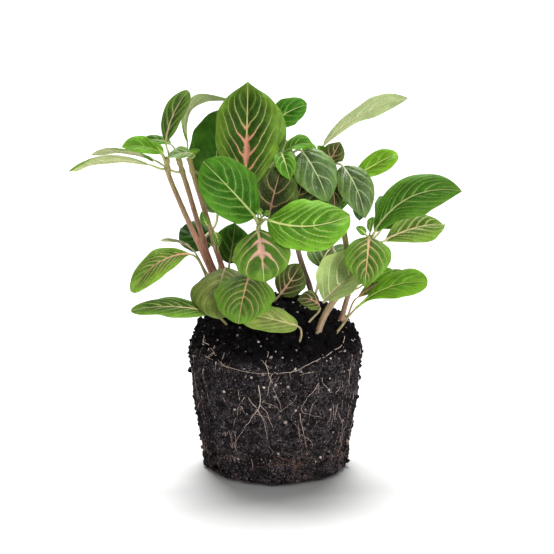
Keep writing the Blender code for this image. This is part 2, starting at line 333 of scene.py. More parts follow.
# Masks that follow the blade. Each leaf carries along (0 stalk to 1 tip), across (-1 to 1), rib (a
# whole number on each side vein), ribShare (its place on the midrib), ribStep (mm from vein to vein) and
# halfWidth (mm).
def makeVeinGroup():
    inputs = [("rimStart", 0.35), ("veinWidth", 0.5), ("midribWidth", 1.3), ("veinReach", 0.9),
              ("blotchPlace", 0.35), ("blotchLength", 0.2), ("blotchWidth", 3.0), ("waver", 0.55)]
    outputs = ["veins", "midrib", "blotch", "margin", "halo", "netting", "edge", "height"]
    tree, given, made = newGroup("leafVeins", inputs, outputs)
    along, across = attribute(tree, "along"), attribute(tree, "across")
    out = calc(tree, "ABSOLUTE", across)
    outMm = times(tree, out, attribute(tree, "halfWidth"))
    # side veins: how far the rib number is from a whole one, in mm
    rib = plus(tree, attribute(tree, "rib"), swing(tree, grain(tree, 9.0, 1.0), given["waver"]))
    fromVein = calc(tree, "ABSOLUTE", calc(tree, "SUBTRACT", rib, calc(tree, "ROUND", rib)))
    fromVein = times(tree, fromVein, attribute(tree, "ribStep"))
    width = times(tree, given["veinWidth"], ramp(tree, out, 0.1, 1.0, 1.0, 0.35))
    veins = ramp(tree, calc(tree, "DIVIDE", fromVein, width), 0.55, 1.25, 1.0, 0.0)
    reach = ramp(tree, calc(tree, "SUBTRACT", out, given["veinReach"]), -0.22, 0.05, 1.0, 0.0)
    started = times(tree, ramp(tree, attribute(tree, "ribShare"), 0.66, 0.74, 1.0, 0.0),
                    ramp(tree, along, 0.84, 0.97, 1.0, 0.0))
    veins = times(tree, times(tree, veins, reach), started)
    halo = ramp(tree, fromVein, 0.2, 2.6, 1.0, 0.0)
    # midrib: narrows towards the tip
    ribWidth = times(tree, given["midribWidth"], ramp(tree, along, -0.1, 1.0, 1.0, 0.22))
    midrib = ramp(tree, calc(tree, "DIVIDE", outMm, ribWidth), 0.6, 1.15, 1.0, 0.0)
    # blotch: an oval on the midrib, drawn out along side veins that widen towards it
    fromBlotch = calc(tree, "SUBTRACT", along, given["blotchPlace"])
    lengthwise = calc(tree, "DIVIDE", fromBlotch, given["blotchLength"])
    sideways = calc(tree, "DIVIDE", outMm, given["blotchWidth"])
    oval = plus(tree, times(tree, lengthwise, lengthwise), times(tree, sideways, sideways))
    oval = plus(tree, oval, swing(tree, grain(tree, 2.0, 3.0), 2.2))
    oval = ramp(tree, oval, 0.30, 1.35, 1.0, 0.0)
    flare = times(tree, width, ramp(tree, sideways, 0.4, 4.5, 3.4, 0.9))
    spikes = ramp(tree, calc(tree, "DIVIDE", fromVein, flare), 0.5, 1.2, 1.0, 0.0)
    spikes = times(tree, spikes, ramp(tree, sideways, 2.0, 5.5, 1.0, 0.0))
    nearby = ramp(tree, calc(tree, "ABSOLUTE", lengthwise), 0.9, 1.9, 1.0, 0.0)
    blotch = calc(tree, "MAXIMUM", oval, times(tree, spikes, nearby))
    # margin: 0 in the middle of the blade, 1 at its edge
    rim = calc(tree, "MAXIMUM", out, ramp(tree, along, 0.55, 1.05, 0.0, 0.95))
    rim = plus(tree, rim, swing(tree, grain(tree, 7.0, 2.0), 0.35))
    margin = ramp(tree, rim, given["rimStart"], 1.02)
    edgeMm = times(tree, calc(tree, "SUBTRACT", 1.0, out), attribute(tree, "halfWidth"))
    # netting: the finest veins, which with the pores make the skin's relief
    netting = ramp(tree, cells(tree, 2.1, "DISTANCE_TO_EDGE"), 0.0, 0.11, 1.0, 0.0)
    pores = times(tree, grain(tree, 0.45, 2.0), 0.35)
    relief = calc(tree, "SUBTRACT", pores, times(tree, netting, 0.45))
    masks = {"veins": veins, "midrib": midrib, "blotch": blotch, "margin": margin, "halo": halo,
             "netting": netting, "edge": ramp(tree, edgeMm, 0.15, 0.7, 1.0, 0.0), "height": relief}
    for label, socket in masks.items():
        tree.links.new(socket, made[label])
    return tree


veinGroup = makeVeinGroup()

# What a blade looks like unless its kind or its side says otherwise. Mottle: grain size in mm, detail,
# roughness, darkest and lightest. Dull: grain size, then how far under and over its gloss it goes.
usualLook = dict(blotch=(0.5, 0.4, 0.2), blotchPower=0.0, haloPower=0.0, netPower=0.11, ribPower=0.92,
                 edgePower=0.6, mottle=(9.0, 4.0, 0.65, 0.72, 1.28), dull=(5.0, 0.05, 0.10),
                 reliefDepth=0.26, reliefPower=0.9)

# What each kind of leaf looks like: middle and rim of the blade, veins, blotch, and the strength of each.
leafKinds = {
    "lime": dict(middle=(0.029, 0.126, 0.004), rim=(0.078, 0.235, 0.011), vein=(0.40, 0.56, 0.13),
                 rib=(0.56, 0.62, 0.24), veinPower=0.85,
                 veinWidth=0.27, midribWidth=0.95, haloPower=0.36, gloss=0.36, shine=0.07),
    "deep": dict(middle=(0.030, 0.076, 0.007), rim=(0.092, 0.212, 0.016), vein=(0.50, 0.54, 0.18),
                 rib=(0.60, 0.50, 0.26), veinPower=0.88,
                 veinWidth=0.29, midribWidth=0.95, haloPower=0.42, gloss=0.36, shine=0.09),
    "painted": dict(middle=(0.016, 0.052, 0.002), rim=(0.100, 0.205, 0.014), vein=(0.50, 0.50, 0.15),
                    rib=(0.58, 0.48, 0.20), blotch=(0.56, 0.25, 0.16), blotchPower=0.95, veinPower=0.95,
                    veinWidth=0.40, midribWidth=1.15, haloPower=0.24, netPower=0.05, gloss=0.34,
                    shine=0.08, rimStart=0.46,
                    blotchPlace=0.35, blotchLength=0.16, blotchWidth=2.2),
    "starred": dict(middle=(0.046, 0.122, 0.008), rim=(0.110, 0.250, 0.016), vein=(0.62, 0.52, 0.25),
                    rib=(0.62, 0.46, 0.27), blotch=(0.62, 0.36, 0.27), blotchPower=0.92, veinPower=0.9,
                    veinWidth=0.48, midribWidth=1.2, haloPower=0.3, netPower=0.06, gloss=0.36, shine=0.08,
                    blotchPlace=0.44, blotchLength=0.20, blotchWidth=2.4),
    "striped": dict(middle=(0.028, 0.094, 0.007), rim=(0.090, 0.235, 0.012), vein=(0.56, 0.40, 0.16),
                    rib=(0.60, 0.36, 0.20), blotch=(0.60, 0.32, 0.20), blotchPower=0.35, veinPower=0.92,
                    veinWidth=0.28, midribWidth=0.9, haloPower=0.36, gloss=0.38, shine=0.09,
                    blotchPlace=0.06, blotchLength=0.12, blotchWidth=1.5),
    "pale": dict(middle=(0.190, 0.250, 0.050), rim=(0.150, 0.240, 0.032), vein=(0.50, 0.53, 0.19),
                 rib=(0.52, 0.46, 0.22), veinPower=0.88,
                 veinWidth=0.40, midribWidth=0.9, haloPower=0.3, gloss=0.44, shine=0.12),
    # grey: the grey cast of its colours is partly painted sheen, standing for the white that the glossy
    # blade reflects
    "grey": dict(middle=(0.048, 0.096, 0.022), rim=(0.095, 0.190, 0.030), vein=(0.42, 0.50, 0.26),
                 rib=(0.50, 0.56, 0.30), veinPower=0.75,
                 veinWidth=0.30, midribWidth=0.75, haloPower=0.28, gloss=0.30, shine=0.30),
    "dark": dict(middle=(0.016, 0.032, 0.005), rim=(0.050, 0.112, 0.009), vein=(0.48, 0.34, 0.17),
                 rib=(0.54, 0.30, 0.21), blotch=(0.5, 0.26, 0.2), blotchPower=0.3, veinPower=0.88,
                 veinWidth=0.32, midribWidth=0.85, haloPower=0.26, gloss=0.36, shine=0.09,
                 blotchPlace=0.2, blotchLength=0.15, blotchWidth=1.0),
    "plain": dict(middle=(0.018, 0.066, 0.004), rim=(0.030, 0.094, 0.006), vein=(0.07, 0.15, 0.03),
                  rib=(0.22, 0.29, 0.10), veinPower=0.35,
                  veinWidth=0.30, midribWidth=0.6, haloPower=0.1, gloss=0.33, shine=0.10),
    "bright": dict(middle=(0.078, 0.225, 0.007), rim=(0.135, 0.330, 0.014), vein=(0.36, 0.54, 0.10),
                   rib=(0.46, 0.58, 0.15), veinPower=0.75,
                   veinWidth=0.30, midribWidth=0.75, haloPower=0.25, gloss=0.34, shine=0.07),
}


# The colour made lighter or darker by the piece's tone, on a few blades partly painted light, and on a blade
# bluer or yellower by its hue.
def toned(tree, colour, hued=False):
    shade = tree.nodes.new("ShaderNodeHueSaturation")
    setInputs(tree, shade, {"Value": attribute(tree, "tone"), "Color": colour})
    if hued:
        feed(tree, shade.inputs["Hue"], attribute(tree, "hue"))
    return shade.outputs[0]


# The underside is paler than the upper side, with raised veins that are paler still.
underLook = usualLook | dict(netPower=0.16, veinPower=0.75, ribPower=0.8, edgePower=0.0, reliefDepth=0.22,
                             mottle=(11.0, 3.0, 0.55, 0.85, 1.15), dull=(4.0, 0.06, 0.08),
                             reliefPower=0.8, shine=0.2)
underKinds = {
    "paleUnder": dict(middle=(0.290, 0.368, 0.150), rim=(0.350, 0.440, 0.180), vein=(0.64, 0.66, 0.42),
                      rib=(0.60, 0.57, 0.36), veinWidth=0.42, midribWidth=1.0, gloss=0.55, waver=0.3),
    "greenUnder": dict(middle=(0.215, 0.300, 0.092), rim=(0.290, 0.385, 0.115), vein=(0.66, 0.67, 0.36),
                       rib=(0.58, 0.48, 0.28), veinWidth=0.36, midribWidth=0.9, gloss=0.5, waver=0.1),
}


# One side of a blade: green from the middle to the rim, mottled, with layers of paint on top of it.
# The glow along the side veins and the edge is the rim's colour and a little of the veins'.
def makeBladeMaterial(name, look):
    material, tree, shader = newMaterial(name)
    masks = useGroup(tree, veinGroup, look)
    size, detail, roughness, darkest, lightest = look["mottle"]
    mottle = ramp(tree, grain(tree, size, detail, roughness), 0.3, 0.7, darkest, lightest)
    colour = blend(tree, masks["margin"], look["middle"], look["rim"])
    colour = blend(tree, 1.0, colour, mottle, "MULTIPLY")
    glow = tuple(0.78 * a + 0.22 * b for a, b in zip(look["rim"], look["vein"]))
    layers = [("halo", "haloPower", glow), ("netting", "netPower", look["vein"]),
              ("veins", "veinPower", look["vein"]), ("midrib", "ribPower", look["rib"]),
              ("blotch", "blotchPower", look["blotch"]), ("edge", "edgePower", glow)]
    for mask, power, paint in layers:
        if look[power]:
            colour = blend(tree, times(tree, masks[mask], look[power]), colour, paint)
    size, under, over = look["dull"]
    dull = ramp(tree, grain(tree, size, 2.0), 0.3, 0.7, look["gloss"] - under, look["gloss"] + over)
    skin = bump(tree, masks["height"], look["reliefDepth"], look["reliefPower"])
    setInputs(tree, shader, {"Base Color": toned(tree, colour, True), "Roughness": dull, "Normal": skin,
                             "Specular IOR Level": look["shine"]})
    return material


# stems, stalks and roots

# Colours at two heights in mm, and how dull where that isn't the usual 0.42.
stalkLooks = {
    "pinkStem": dict(low=(0.135, 0.075, 0.055), high=(0.200, 0.170, 0.065), lowAt=120, highAt=200),
    "wideStem": dict(low=(0.250, 0.165, 0.090), high=(0.220, 0.210, 0.065), lowAt=100, highAt=150),
    "greenStem": dict(low=(0.250, 0.140, 0.080), high=(0.260, 0.310, 0.065), lowAt=110, highAt=172),
    "tanStem": dict(low=(0.330, 0.140, 0.088), high=(0.300, 0.265, 0.085), lowAt=140, highAt=215, dull=0.45),
    "leafStalk": dict(low=(0.290, 0.225, 0.105), high=(0.330, 0.375, 0.130), lowAt=95, highAt=185),
    "paleRoot": dict(low=(0.400, 0.280, 0.250), high=(0.740, 0.600, 0.490), lowAt=10, highAt=80, dull=0.7),
    "brownRoot": dict(low=(0.120, 0.060, 0.035), high=(0.190, 0.110, 0.070), lowAt=0, highAt=60, dull=0.75),
}


# Darker below and paler above, with streaks, darker flecks and a fine skin.
def makeStalkMaterial(name):
    look = dict(dull=0.42) | stalkLooks[name]
    material, tree, shader = newMaterial(name)
    uneven = 30 * mm
    height = plus(tree, heightOf(tree), times(tree, grain(tree, 16.0, 2.0), uneven))
    rise = ramp(tree, height, look["lowAt"] * mm + uneven / 2, look["highAt"] * mm + uneven / 2)
    colour = blend(tree, rise, look["low"], look["high"])
    streak = tree.nodes.new("ShaderNodeMapping")
    setInputs(tree, streak, {"Vector": places(tree), "Scale": (1.0, 1.0, 0.12)})
    lines = tree.nodes.new("ShaderNodeTexNoise")
    setInputs(tree, lines, {"Vector": streak.outputs[0], "Scale": 1400.0})
    shade = ramp(tree, lines.outputs["Fac"], 0.3, 0.7, 0.72, 1.25)
    colour = blend(tree, 1.0, colour, shade, "MULTIPLY")
    flecks = ramp(tree, grain(tree, 1.1, 2.0), 0.62, 0.72, 0.0, 0.5)
    colour = blend(tree, flecks, colour, tuple(0.45 * c for c in look["low"]))
    skin = bump(tree, lines.outputs["Fac"], 0.12)
    setInputs(tree, shader, {"Base Color": colour, "Roughness": look["dull"], "Normal": skin})
    return material


# peat and perlite

# Near-black peat: fine dark and greyish crumbs, some rusty, a little pale dust and a coarse grain. Part of
# the crumbs' contrast is painted shade in the gaps and painted highlight, and part of the pale dust is
# painted glints. The mound is painted darker than the sides: painted shade from the leaves over it.
def makePeatMaterial(name, dark, light, rusty, topShade, loose=False):
    material, tree, shader = newMaterial(name)
    # painted shade and highlight: the strong contrast of near-black and greyish crumbs stands partly for
    # shaded gaps and lit crumbs
    patches = ramp(tree, grain(tree, 1.5, 5.0, 0.8), 0.40, 0.66)
    clods = ramp(tree, grain(tree, 8.0, 3.0, 0.6), 0.38, 0.62, 0.30, 1.0)
    colour = blend(tree, times(tree, patches, clods), dark, light)
    rust = ramp(tree, grain(tree, 2.0, 3.0, 0.6), 0.60, 0.70, 0.0, 0.6)
    colour = blend(tree, rust, colour, rusty)
    # pale specks: partly perlite dust, partly painted glints
    dustAndGlints = times(tree, ramp(tree, cells(tree, 1.3), 0.14, 0.26, 1.0, 0.0),
                ramp(tree, grain(tree, 5.0, 3.0), 0.47, 0.56))
    colour = blend(tree, times(tree, dustAndGlints, 0.85), colour, (0.40, 0.31, 0.30))
    rim = rootBall["rimHeight"]
    # painted shade: the top of the ball, under the leaves, is blended towards the dark colour
    shadedTop = ramp(tree, heightOf(tree), (rim - 2) * mm, (rim + 12) * mm)
    colour = blend(tree, times(tree, shadedTop, topShade), colour, dark)
    coarse = plus(tree, grain(tree, 1.0, 4.0, 0.7), times(tree, cells(tree, 0.9), 0.6))
    setInputs(tree, shader, {"Base Color": toned(tree, colour) if loose else colour, "Roughness": 0.95,
                             "Specular IOR Level": 0.03, "Normal": bump(tree, coarse, 1.5)})
    return material


# White to pinkish porous grains, some stained by the peat.
def makePerliteMaterial():
    material, tree, shader = newMaterial("perlite")
    tint = ramp(tree, grain(tree, 12.0, 1.0), 0.4, 0.6)
    colour = blend(tree, tint, (0.60, 0.57, 0.54), (0.44, 0.33, 0.29))
    stain = ramp(tree, grain(tree, 1.3, 3.0), 0.52, 0.70, 0.0, 0.8)
    colour = blend(tree, stain, colour, (0.16, 0.11, 0.09))
    skin = bump(tree, cells(tree, 0.35), 0.2)
    setInputs(tree, shader, {"Base Color": toned(tree, colour), "Roughness": 0.85, "Normal": skin})
    return material


leafMaterials = {kind: makeBladeMaterial(kind + "Leaf", usualLook | look)
                 for kind, look in leafKinds.items()}
underMaterials = {name: makeBladeMaterial(name, underLook | look)
                  for name, look in underKinds.items()}
stalkMaterials = {name: makeStalkMaterial(name) for name in stalkLooks}
perliteMaterial = makePerliteMaterial()
print("materials made")

# the plant's plan

# Root ball: its height and rim come from the frame, the mound is its outline there (radius, height), and
# the stones are its larger perlite grains (angle round it from the front, height, size).
highCorner = np.array(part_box("root_ball")[1]) / mm
rootBall = dict(rimRadius=highCorner[0], top=highCorner[2], baseRadius=45, rimHeight=78, edgeRound=4,
                mound=[(14, 109), (27, 106), (38, 101), (46, 95), (51, 89)], rows=226, columns=430,
                clods=3.0, clodSize=6.0, crumbs=1.8, crumbSize=2.5, domeMean=0.62, swells=2.2,
                swellSize=17.0, creaseHeight=15, creaseDepth=1.6, footSwell=6.0,
                stones=[(-8, 77, 1.9), (-3, 87, 1.5), (5, 87, 1.5), (13, 80, 1.2), (22, 77, 1.3),
                        (-4, 55, 1.4), (14, 52, 1.2), (-46, 95, 1.4), (-33, 97, 1.5), (34, 86, 1.3),
                        (-20, 49, 1.0)])

# Stems: radius, foot on the soil (x, y), look, then the points the stem passes through.
stemLayout = {
    "left_outer_stem": (1.9, (-33, 4), "tanStem",
                        [(-38, 4, 118), (-44, 2, 135), (-55, -2, 162), (-67, -6, 192), (-69, -6, 205)]),
    "left_middle_stem": (1.9, (-27, 19), "tanStem",
                         [(-35, 17, 116), (-43, 14, 134), (-49, 11, 156), (-58, 8, 188), (-62, 8, 202)]),
    "left_inner_stem": (1.9, (-22, 7), "tanStem",
                        [(-29, 5, 118), (-36, 4, 136), (-43, 3, 161), (-51, 3, 188), (-55, 3, 203)]),
    "front_stem": (1.6, (-7, -8), "greenStem",
                   [(-7, -14, 122), (-8, -22, 141), (-10, -30, 162), (-10, -34, 172)]),
    "tall_stem": (1.8, (25, 6), "pinkStem",
                  [(22, 7, 118), (15, 8, 140), (8, 6, 176), (4, 4, 198), (3, 3, 206)]),
    "rear_stem": (2.1, (27, -33), "wideStem",
                  [(31, -28, 107), (41, -17, 122), (46, -4, 140), (41, 7, 166), (33, 12, 190),
                   (31, 13, 199)]),
    "right_stem": (1.7, (42, -7), "greenStem",
                   [(45, -8, 110), (50, -10, 127), (56, -13, 143), (60, -15, 156)]),
}

# Leaves by kind. Each row: stem and station (share of the stem, or "soil" and its place), base and tip of
# the blade, width, face (heading and lift of the upper side), bow, sweep, fold of the halves.
leafLayout = {
    "painted": [
        ("crown_front", "front_stem", 0.92, (-19, -27, 190), (-17, -20, 257), 40, (3, 12), 4, 0, 7),
    ],
    "starred": [
        ("rosette_hanging", "front_stem", 0.92, (-11, -43, 167), (-7, -58, 138), 37, (4, 36), 6, 0, -8),
    ],
    "lime": [
        ("left_tip_behind", "left_middle_stem", 0.95, (-67, 12, 210), (-86, 14, 212), 13, (0, 72), 2, 0, 12),
        ("right_long", "right_stem", 1.0, (63, -18, 160), (118, -12, 185), 28, (5, 38), 5, -9, 6),
        ("left_tip_arching", "left_middle_stem", 1.0, (-56, 0, 214), (-28, 8, 240),
         14, (-145, 40), 17, 0, 12),
        ("rear_arching_long", "rear_stem", 0.98, (31, 24, 207), (86, 42, 235), 21, (200, 45), 6, 0, 12),
        ("left_arm_upper", "left_middle_stem", 0.86, (-78, 12, 200), (-119, 32, 200),
         16, (160, 66), 3, 0, 6),
        ("left_arm_lower", "left_outer_stem", 0.88, (-80, -12, 202), (-129, -28, 202),
         19, (180, 62), 4, 0, 6),
        ("tall_tip_folded", "tall_stem", 1.0, (6, 0, 207), (23, -5, 214), 15, (-20, 55), 3, 0, 28),
        ("tall_tip_curled", "tall_stem", 0.96, (4, -9, 208), (9, -24, 195), 15, (0, 30), 4, 0, 28),
        ("rosette_left", "front_stem", 0.98, (-13, -40, 175), (-44, -52, 212), 35, (-7, 28), 5, 0, 6),
        ("rosette_right", "front_stem", 0.95, (-5, -41, 173), (46, -50, 178), 35, (5, 35), 3, 7, 6),
        ("crown_small", "tall_stem", 0.65, (-3, 26, 219), (20, 26, 233), 18, (8, 20), 3, -2, 6),
        ("inner_green", "left_middle_stem", 0.12, (-30, 18, 130), (-26, 22, 156), 24, (5, 8), 2, 0, 6),
        ("back_middle", "tall_stem", 0.5, (4, 34, 172), (-8, 64, 208), 33, (178, 35), 7, 0, 6),
        ("back_right", "rear_stem", 0.5, (36, 36, 158), (44, 70, 170), 30, (165, 50), 7, 0, 6),
        ("right_behind", "right_stem", 0.93, (68, 2, 157), (86, 46, 166), 27, (120, 60), 6, 0, 6),
    ],
    "deep": [
        ("left_tip_upright", "left_outer_stem", 1.0, (-69, -6, 215), (-55, 0, 247),
         15, (-22, 12), 2, -2, 12),
        ("crown_back", "tall_stem", 0.88, (-9, 15, 190), (-13, 15, 246), 34, (8, 5), 4, 0, 6),
        ("right_lower", "right_stem", 0.96, (69, -11, 152), (108, 8, 159), 24, (3, 55), 4, 0, 6),
        ("low_left_long", "soil", (-30, -26), (-42, -30, 110), (-91, -38, 114), 18, (0, 62), 4, 0, 6),
        ("back_left", "left_middle_stem", 0.55, (-38, 38, 160), (-28, 74, 170), 31, (190, 50), 7, 0, 6),
        ("back_low_left", "left_middle_stem", 0.16, (-24, 42, 126), (-34, 80, 124), 32, (185, 65), 8, 0, 6),
        ("back_low_right", "tall_stem", 0.12, (30, 38, 122), (44, 76, 122), 28, (170, 65), 8, 0, 6),
    ],
    "striped": [
        ("low_left_arching", "left_outer_stem", 0.22, (-54, -10, 143), (-91, -30, 124),
         21, (-8, 50), 11, 0, 6),
        ("right_hanging", "right_stem", 0.98, (59, -25, 157), (56, -40, 129), 30, (0, 35), 7, 0, -9),
        ("low_front_striped", "front_stem", 0.25, (-16, -28, 134), (-23, -57, 111), 38, (-4, 42), 6, 0, -4),
        ("low_right_back", "right_stem", 0.12, (52, -6, 113), (84, 14, 126), 14, (0, 55), 3, 0, 6),
    ],
    "pale": [
        ("low_left_pale", "left_inner_stem", 0.2, (-32, -12, 134), (-36, -42, 110), 38, (-15, 45), 6, 0, -6),
        ("soil_folded", "soil", (15, -44), (14, -44, 105), (-27, -42, 113), 18, (0, 30), 5, 0, 10),
        ("low_right_underside", "rear_stem", 0.3, (31, -31, 118), (62, -15, 143), 39, (172, 18), 2, 0,
         (15, -88)),
    ],
    "grey": [
        ("rear_grey_hanging", "tall_stem", 0.9, (17, -6, 209), (33, -18, 180), 27, (12, 28), 5, 0, 6),
        ("right_grey_green", "rear_stem", 0.94, (43, 1, 198), (57, -15, 168), 23, (15, 35), 6, 0, 6),
        ("left_inner_young", "left_inner_stem", 1.0, (-52, -5, 207), (-68, -15, 207),
         11, (20, 60), 2, 0, 22),
    ],
    "dark": [
        ("rear_dark_upright", "rear_stem", 1.0, (34, 4, 200), (41, -1, 214), 14, (14, 30), 2, 0, 9),
        ("middle_left", "tall_stem", 0.55, (-4, -14, 168), (4, -18, 202), 32, (-10, 8), 4, 0, 6),
        ("middle_right", "tall_stem", 0.66, (8, -10, 168), (20, -8, 197), 27, (15, 20), 3, 0, 6),
        ("low_dark", "front_stem", 0.12, (3, -15, 118), (16, -12, 137), 20, (12, 15), 3, 0, 6),
        ("rear_dark_hanging", "rear_stem", 0.88, (35, 0, 193), (38, -7, 171), 15, (10, 15), 2, 0, 6),
        ("soil_arched", "soil", (20, -30), (28, -27, 113), (14, -30, 119), 14, (0, 50), 4, 0, 6),
        ("low_left_narrow", "left_outer_stem", 0.3, (-55, 12, 142), (-75, 28, 143), 11, (180, 70), 2, 0, 6),
    ],
    "plain": [
        ("crown_side", "left_inner_stem", 0.88, (-41, 10, 181), (-33, 10, 233), 36, (-5, -5), 3, 0, 7),
        ("low_left_dark", "left_middle_stem", 0.3, (-42, 24, 141), (-62, 40, 149), 22, (0, 20), 2, 0, 6),
        ("right_narrow_back", "rear_stem", 0.82, (48, 11, 188), (54, 8, 161), 15, (35, 20), 5, 0, 6),
    ],
    "bright": [
        ("right_bright", "rear_stem", 0.93, (50, 22, 186), (79, 38, 199), 15, (10, 30), 3, 0, 12),
        ("low_right_front", "soil", (38, -26), (51, -27, 112), (96, -29, 130), 20, (3, 42), 4, -4, 6),
        ("left_tip_bright", "left_outer_stem", 0.96, (-73, -14, 210), (-96, -24, 216),
         15, (0, 50), 3, 0, 22),
        ("rear_bud", "rear_stem", 0.97, (26, 12, 203), (17, 7, 208), 12, (0, 40), 2, 0, 17),
    ],
}

# Small leaves at the growing tips and on one stem, in the same words; the frame has no node for them.
budLayout = {
    "lime": [
        ("bud_rosette_left", "front_stem", 1.0, (-9, -38, 175), (-13, -41, 180), 6, (-20, 50), 1, 0, 30),
        ("bud_rosette_right", "front_stem", 0.99, (-8, -38, 174), (-3, -41, 177), 6, (20, 50), 1, 0, 30),
        ("bud_rosette_up", "front_stem", 0.98, (-11, -35, 175), (-15, -34, 187), 8, (-30, 35), 1, 0, 24),
        ("bud_node_up", "left_inner_stem", 0.48, (-43, -2, 160), (-47, -5, 170), 6, (-30, 35), 1, 0, 24),
        ("bud_node_down", "left_inner_stem", 0.46, (-39, -2, 156), (-36, -5, 147), 6, (20, 40), 1, 0, 24),
        ("bud_right_up", "right_stem", 1.0, (60, -15, 159), (62, -15, 169), 6, (-40, 30), 1, 0, 24),
        ("bud_right_side", "right_stem", 0.99, (57, -17, 158), (51, -18, 163), 6, (-10, 40), 1, 0, 24),
    ],
    "bright": [
        ("bud_left_outer", "left_outer_stem", 1.0, (-71, -8, 208), (-78, -10, 216), 6, (-20, 40), 1, 0, 26),
        ("bud_left_inner", "left_inner_stem", 0.99, (-54, 2, 205), (-48, 0, 209), 5, (10, 45), 1, 0, 26),
        ("bud_tall", "tall_stem", 0.99, (1, 0, 207), (-4, -2, 213), 6, (-10, 45), 1, 0, 26),
        ("bud_rear", "rear_stem", 0.99, (33, 10, 201), (27, 9, 210), 7, (0, 40), 1, 0, 24),
        ("low_right_young", "right_stem", 0.45, (60, -13, 127), (75, -14, 134), 9, (0, 45), 1, 0, 18),
    ],
}

# Roots that show on the side of the ball: radius, then (angle round it from the front, height).
rootLayout = {
    "root_across_right": (0.7, [(64, 93), (56, 91), (44, 88), (28, 84), (14, 80), (2, 78)]),
    "root_across_left": (0.6, [(-76, 96), (-62, 91), (-46, 86), (-32, 79)]),
    "root_down_middle": (0.7, [(-11, 70), (-11, 55), (-20, 42), (-32, 27)]),
    "root_down_right": (0.6, [(16, 50), (19, 40), (22, 29), (24, 21)]),
}


# The ball's outline from the top of the mound to the middle of the base, with a quarter circle at its
# lower edge, read at even steps of its length.
def ballOutline(count):
    ball = rootBall
    arc = np.radians(np.linspace(0, 90, 6))
    edge = np.column_stack([ball["baseRadius"] - ball["edgeRound"] * (1 - np.cos(arc)),
                            ball["edgeRound"] * (1 - np.sin(arc))])
    belly = (0.5 * (ball["rimRadius"] + ball["baseRadius"]) + 0.6, 0.5 * ball["rimHeight"])
    upper = [(0, ball["top"])] + ball["mound"] + [(ball["rimRadius"] - 1, ball["rimHeight"] + 5)]
    corners = np.vstack([upper, (ball["rimRadius"], ball["rimHeight"]), belly, edge, (0, 0)])
    length = np.concatenate([[0], np.cumsum(np.linalg.norm(np.diff(corners, axis=0), axis=1))])
    place = np.linspace(0, length[-1], count)
    return np.column_stack([np.interp(place, length, corners[:, k]) for k in range(2)])


# The rows of the outline from baseStart on are the flat base.
outline = ballOutline(400)
baseStart = 360


def ballRadius(height):
    side = outline[:baseStart]
    order = np.argsort(side[:, 1])
    return np.interp(height, side[order, 1], side[order, 0])


# Points of the outline and the way out of the ball there, turned about the upright axis by an angle.
def turned(line, way, angle):
    sideways = np.stack([np.sin(angle), -np.cos(angle), angle * 0], axis=-1)
    upright = np.array([0, 0, 1.0])
    points = line[..., :1] * sideways + line[..., 1:] * upright
    return points, -way[..., 1:] * sideways + way[..., :1] * upright


def soilHeight(x, y):
    top = outline[outline[:, 1] >= rootBall["rimHeight"]]
    return np.interp(np.hypot(x, y), top[:, 0], top[:, 1])


# Way out of the soil: the height's slopes in x and y over a step, as a normal.
def soilNormal(x, y, step=2.0):
    slopeX = (soilHeight(x + step, y) - soilHeight(x - step, y)) / (2 * step)
    slopeY = (soilHeight(x, y + step) - soilHeight(x, y - step)) / (2 * step)
    return unit(np.array([-slopeX, -slopeY, 1.0]))


# Points along a stem from a little way down in the soil to its tip.
def stemPath(name, count):
    _, (x, y), _, points = stemLayout[name]
    start = np.array([x, y, soilHeight(x, y)])
    bottom = start - unit(np.array(points[0]) - start) * 6
    return smoothPath([bottom, start] + points, count)


# leaves

bladeShape = dict(rows=66, columns=35, smallRows=40, smallColumns=21, smallWidth=16, fullWidth=35,
                  thickness=0.42, quilt=1.15, groove=0.38, midGroove=0.7, arch=0.10, wave=1.7,
                  wobble=0.055, lumps=0.5, twist=10.0, tipDroop=1.2, veinLean=0.33, veinArch=0.24,
                  veinUneven=0.55, stalkRadius=1.0, ribRadius=0.75, ribSlant=0.85)

# Side veins this far apart along the midrib; the other kinds use the last value.
veinGaps = {"painted": 9.6, "starred": 6.6, "striped": 5.2, "deep": 7.2, "others": 7.4}

# Outline of a blade: where it is widest (share of its length), how hollow it is towards the base and
# towards the tip (0.4 full, 1 tapered), and how sharp a point it ends in. The first row is the usual one.
bladeForms = {
    "usual": (0.475, 0.50, 0.50, 0.45),
    "crown_front": (0.52, 0.52, 0.40, 0.85),
    "crown_side": (0.50, 0.45, 0.42, 0.10),
    "crown_back": (0.50, 0.50, 0.46, 0.30),
    "crown_small": (0.50, 0.50, 0.42, 0.05),
    "rosette_left": (0.50, 0.48, 0.44, 0.20),
    "rosette_right": (0.52, 0.52, 0.44, 0.20),
    "rosette_hanging": (0.52, 0.46, 0.40, 0.20),
    "left_tip_upright": (0.54, 0.60, 0.44, 0.05),
    "left_tip_arching": (0.40, 0.50, 0.80, 0.30),
    "left_arm_upper": (0.45, 0.60, 0.60, 0.20),
    "left_arm_lower": (0.52, 0.70, 0.50, 0.20),
    "rear_grey_hanging": (0.42, 0.50, 0.58, 0.30),
    "right_grey_green": (0.45, 0.50, 0.58, 0.35),
    "right_bright": (0.56, 0.62, 0.42, 0.05),
    "right_long": (0.52, 0.72, 0.62, 0.30),
    "right_lower": (0.56, 0.80, 0.50, 0.30),
    "right_hanging": (0.36, 0.42, 0.80, 0.30),
    "low_right_front": (0.68, 0.95, 0.40, 0.05),
    "low_right_back": (0.60, 0.80, 0.50, 0.20),
    "low_front_striped": (0.48, 0.46, 0.45, 0.10),
    "low_left_pale": (0.52, 0.50, 0.44, 0.10),
    "low_left_long": (0.45, 0.70, 0.46, 0.10),
    "low_left_arching": (0.60, 0.75, 0.42, 0.10),
    "low_left_narrow": (0.50, 0.80, 0.70, 0.30),
}


# One fixed number from 0 to 1 for a leaf.
def leafNumber(first, second, third, seed):
    return float(latticeValue(np.array([first, second, third]), seed))


